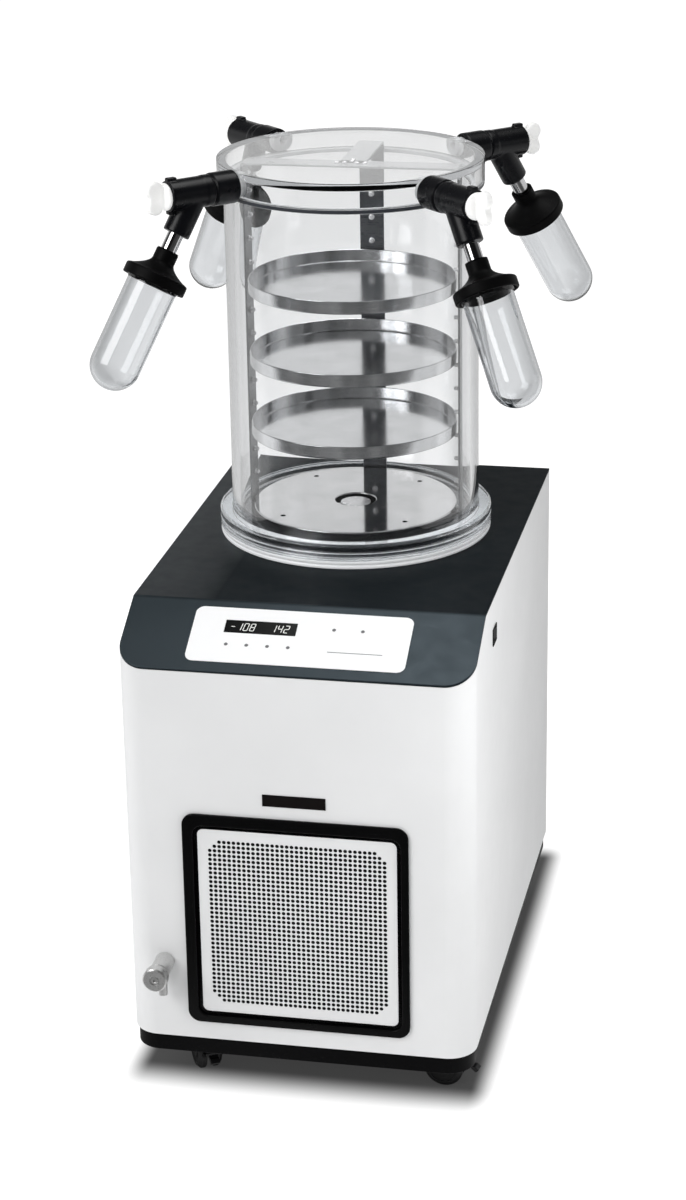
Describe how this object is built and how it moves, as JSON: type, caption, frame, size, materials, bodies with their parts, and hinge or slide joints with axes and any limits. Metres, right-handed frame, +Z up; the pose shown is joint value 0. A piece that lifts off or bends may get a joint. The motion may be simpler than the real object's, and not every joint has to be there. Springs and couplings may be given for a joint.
{
  "type": "freeze dryer",
  "caption": "Floor-standing freeze dryer: white cabinet on swivel casters with a clear drying chamber, rimmed trays and flask ports with turn valves.",
  "frame": {"origin": "centre of the cabinet footprint on the floor it stands on", "axes": "+Z up, +Y from the control front towards the rear vacuum outlet, +X to the right of a person facing the front"},
  "size_m": [0.43, 0.604, 0.8809],
  "materials": {
    "white_paint": "semi-gloss powder coat",
    "dark_paint": "satin powder coat",
    "plinth_black": "satin",
    "black_plastic": "satin",
    "wheel_tread": "matte",
    "overlay_film": "smooth film",
    "display_glass": "gloss",
    "polished_steel": "polished",
    "zinc_steel": "zinc plated",
    "gasket_silicone": "smooth",
    "clear_acrylic": "clear and polished",
    "black_rubber": "semi-matte",
    "white_nylon": "smooth",
    "brushed_steel": "fine brushed",
    "flask_glass": "clear and polished",
    "foam_jacket": "closed-cell foam",
    "compressor_black": "gloss black enamel",
    "fin_aluminium": "mill finish",
    "dark_plastic": "moulded"
  },
  "bodies": {
    "cabinet": {"cabinet_shell": "white_paint", "rear_panel": "white_paint", "top_cover": "dark_paint", "base_plinth": "plinth_black", "grille_frame": "black_plastic", "grille_panel": "white_paint", "control_overlay": "overlay_film", "display_window": "display_glass", "switch_bezel": "black_plastic", "power_inlet": "black_plastic", "drain_body": "polished_steel", "caster_plates": "zinc_steel", "base_gasket": "gasket_silicone", "chamber_flange": "clear_acrylic", "chamber_tube": "clear_acrylic", "head_seal": "black_rubber", "chamber_head": "clear_acrylic", "port_nipples": "white_nylon", "rack_frame": "brushed_steel", "rack_pins": "brushed_steel", "rack_plate": "brushed_steel", "tray_1": "brushed_steel", "tray_2": "brushed_steel", "tray_3": "brushed_steel", "valve_body_1": "black_rubber", "valve_body_2": "black_rubber", "valve_body_3": "black_rubber", "valve_body_4": "black_rubber", "flask_stems": "polished_steel", "flask_cap_1": "black_rubber", "flask_cap_2": "black_rubber", "flask_cap_3": "black_rubber", "flask_cap_4": "black_rubber", "flask_1": "flask_glass", "flask_2": "flask_glass", "flask_3": "flask_glass", "flask_4": "flask_glass", "cold_trap": "brushed_steel", "trap_jacket": "foam_jacket", "vacuum_port": "polished_steel", "compressors": "compressor_black", "condenser_core": "fin_aluminium", "fan_shroud": "dark_plastic"},
    "knob_1": {"valve_knob_1": "white_nylon"},
    "knob_2": {"valve_knob_2": "white_nylon"},
    "knob_3": {"valve_knob_3": "white_nylon"},
    "knob_4": {"valve_knob_4": "white_nylon"},
    "drain_handle": {"drain_knob": "polished_steel"},
    "rocker": {"power_rocker": "black_plastic"},
    "fan": {"fan_rotor": "dark_plastic"},
    "caster_1": {"caster_hood_1": "black_plastic"},
    "wheels_1": {"caster_wheels_1": "wheel_tread"},
    "caster_2": {"caster_hood_2": "black_plastic"},
    "wheels_2": {"caster_wheels_2": "wheel_tread"},
    "caster_3": {"caster_hood_3": "black_plastic"},
    "wheels_3": {"caster_wheels_3": "wheel_tread"},
    "caster_4": {"caster_hood_4": "black_plastic"},
    "wheels_4": {"caster_wheels_4": "wheel_tread"},
    "pedal_1": {"brake_pedal_1": "black_plastic"},
    "pedal_2": {"brake_pedal_2": "black_plastic"}
  },
  "joints": [
    {"name": "knob_1_turn", "type": "hinge", "parent": "cabinet", "child": "knob_1", "pos_m": [-0.14142, -0.08792, 0.8635], "axis": [-0.7071, -0.7071, 0], "range_deg": [0, 180]},
    {"name": "knob_2_turn", "type": "hinge", "parent": "cabinet", "child": "knob_2", "pos_m": [0.14142, -0.08792, 0.8635], "axis": [0.7071, -0.7071, 0], "range_deg": [0, 180]},
    {"name": "knob_3_turn", "type": "hinge", "parent": "cabinet", "child": "knob_3", "pos_m": [0.14142, 0.19492, 0.8635], "axis": [0.7071, 0.7071, 0], "range_deg": [0, 180]},
    {"name": "knob_4_turn", "type": "hinge", "parent": "cabinet", "child": "knob_4", "pos_m": [-0.14142, 0.19492, 0.8635], "axis": [-0.7071, 0.7071, 0], "range_deg": [0, 180]},
    {"name": "drain_turn", "type": "hinge", "parent": "cabinet", "child": "drain_handle", "pos_m": [-0.1315, -0.29, 0.1495], "axis": [0, -1, 0], "range_deg": [0, 360]},
    {"name": "rocker_tilt", "type": "hinge", "parent": "cabinet", "child": "rocker", "pos_m": [0.167, -0.13, 0.4575], "axis": [0, 0, 1], "range_deg": [0, 12]},
    {"name": "fan_spin", "type": "hinge", "parent": "cabinet", "child": "fan", "pos_m": [0, -0.198, 0.1905], "axis": [0, 1, 0], "continuous": true},
    {"name": "swivel_1", "type": "hinge", "parent": "cabinet", "child": "caster_1", "pos_m": [-0.118, -0.183, 0.04], "axis": [0, 0, 1], "continuous": true},
    {"name": "wheel_roll_1", "type": "hinge", "parent": "caster_1", "child": "wheels_1", "pos_m": [-0.1115, -0.19426, 0.02], "axis": [0.866, 0.5, 0], "continuous": true},
    {"name": "brake_1", "type": "hinge", "parent": "caster_1", "child": "pedal_1", "pos_m": [-0.0995, -0.21504, 0.026], "axis": [0.866, 0.5, 0], "range_deg": [0, 12]},
    {"name": "swivel_2", "type": "hinge", "parent": "cabinet", "child": "caster_2", "pos_m": [0.118, -0.183, 0.04], "axis": [0, 0, 1], "continuous": true},
    {"name": "wheel_roll_2", "type": "hinge", "parent": "caster_2", "child": "wheels_2", "pos_m": [0.13087, -0.18481, 0.02], "axis": [0.1392, 0.9903, 0], "continuous": true},
    {"name": "brake_2", "type": "hinge", "parent": "caster_2", "child": "pedal_2", "pos_m": [0.15464, -0.18815, 0.026], "axis": [0.1392, 0.9903, 0], "range_deg": [0, 12]},
    {"name": "swivel_3", "type": "hinge", "parent": "cabinet", "child": "caster_3", "pos_m": [0.118, 0.183, 0.04], "axis": [0, 0, 1], "continuous": true},
    {"name": "wheel_roll_3", "type": "hinge", "parent": "caster_3", "child": "wheels_3", "pos_m": [0.12245, 0.19522, 0.02], "axis": [-0.9397, 0.342, 0], "continuous": true},
    {"name": "swivel_4", "type": "hinge", "parent": "cabinet", "child": "caster_4", "pos_m": [-0.118, 0.183, 0.04], "axis": [0, 0, 1], "continuous": true},
    {"name": "wheel_roll_4", "type": "hinge", "parent": "caster_4", "child": "wheels_4", "pos_m": [-0.12546, 0.19365, 0.02], "axis": [-0.8192, -0.5736, 0], "continuous": true}
  ]
}
